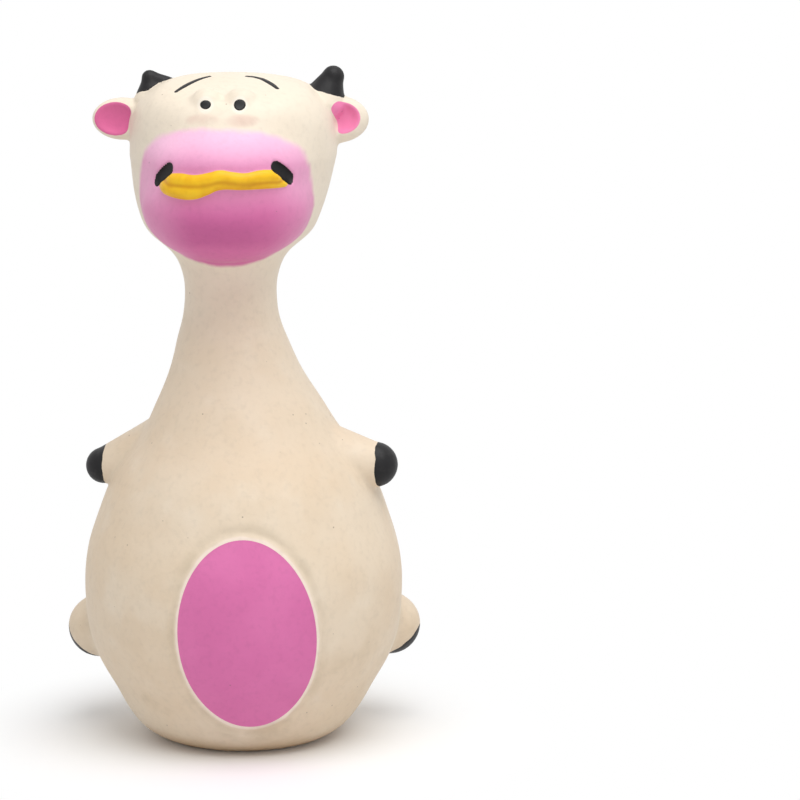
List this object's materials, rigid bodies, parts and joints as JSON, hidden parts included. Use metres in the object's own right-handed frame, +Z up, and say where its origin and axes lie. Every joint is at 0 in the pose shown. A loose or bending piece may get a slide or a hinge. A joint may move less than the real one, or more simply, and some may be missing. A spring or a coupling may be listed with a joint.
{
  "type": "squeaky dog toy",
  "caption": "Hollow latex cow figure that sits on a flat foot, with a pressable belly, a bending neck and a reed squeaker that sounds when a dog bites it.",
  "frame": {"origin": "centre of the flat foot, on the surface that the toy stands on", "axes": "+Z up through the neck to the crown, -Y the way the belly faces, +X to the right of a viewer who looks at its face"},
  "size_m": [0.07, 0.0614, 0.1294],
  "materials": {
    "latex_cream": "satin natural latex",
    "latex_pink": "satin pink latex paint",
    "latex_yellow": "satin yellow latex paint",
    "latex_black": "satin black latex paint",
    "fibre_filling": "loose polyester fibre",
    "squeaker_plastic": "moulded polyethylene",
    "reed_film": "thin polyester film"
  },
  "bodies": {
    "body": {"body_skin": "latex_cream", "arm_left": "latex_cream", "arm_hoof_left": "latex_black", "arm_right": "latex_cream", "arm_hoof_right": "latex_black", "leg_left": "latex_cream", "leg_hoof_left": "latex_black", "leg_right": "latex_cream", "leg_hoof_right": "latex_black", "body_filling": "fibre_filling", "squeaker_cup": "squeaker_plastic", "reed_block": "squeaker_plastic", "reed_clip": "squeaker_plastic"},
    "belly": {"belly_patch": "latex_pink"},
    "neck": {"neck_skin": "latex_cream"},
    "head": {"head_skin": "latex_cream", "head_filling": "fibre_filling", "muzzle": "latex_pink", "lips": "latex_yellow", "nostril_left": "latex_black", "nostril_right": "latex_black", "pupil_left": "latex_black", "pupil_right": "latex_black", "brow_left": "latex_black", "brow_right": "latex_black", "ear_left": "latex_cream", "ear_right": "latex_cream", "ear_lining_left": "latex_pink", "ear_lining_right": "latex_pink", "horn_left": "latex_black", "horn_right": "latex_black"},
    "reed": {"reed": "reed_film"}
  },
  "joints": [
    {"name": "belly_press", "type": "slide", "parent": "body", "child": "belly", "axis": [0, 1, 0], "range_m": [0, 0.008], "stiffness_N_per_m": 250, "deforming": ["body_filling"]},
    {"name": "neck_sway", "type": "hinge", "parent": "body", "child": "neck", "pos_m": [-0.00044, 0, 0.07599], "axis": [0, 1, 0], "range_deg": [-15, 15], "stiffness_Nm_per_rad": 0.12},
    {"name": "head_nod", "type": "hinge", "parent": "neck", "child": "head", "pos_m": [-0.002, 0, 0.0885], "axis": [0.9976, -0.0698, 0], "range_deg": [-20, 20], "stiffness_Nm_per_rad": 0.06},
    {"name": "reed_flutter", "type": "hinge", "parent": "body", "child": "reed", "pos_m": [0, 0, 0.0139], "axis": [1, 0, 0], "range_deg": [-8, 1.5], "stiffness_Nm_per_rad": 0.00001}
  ]
}
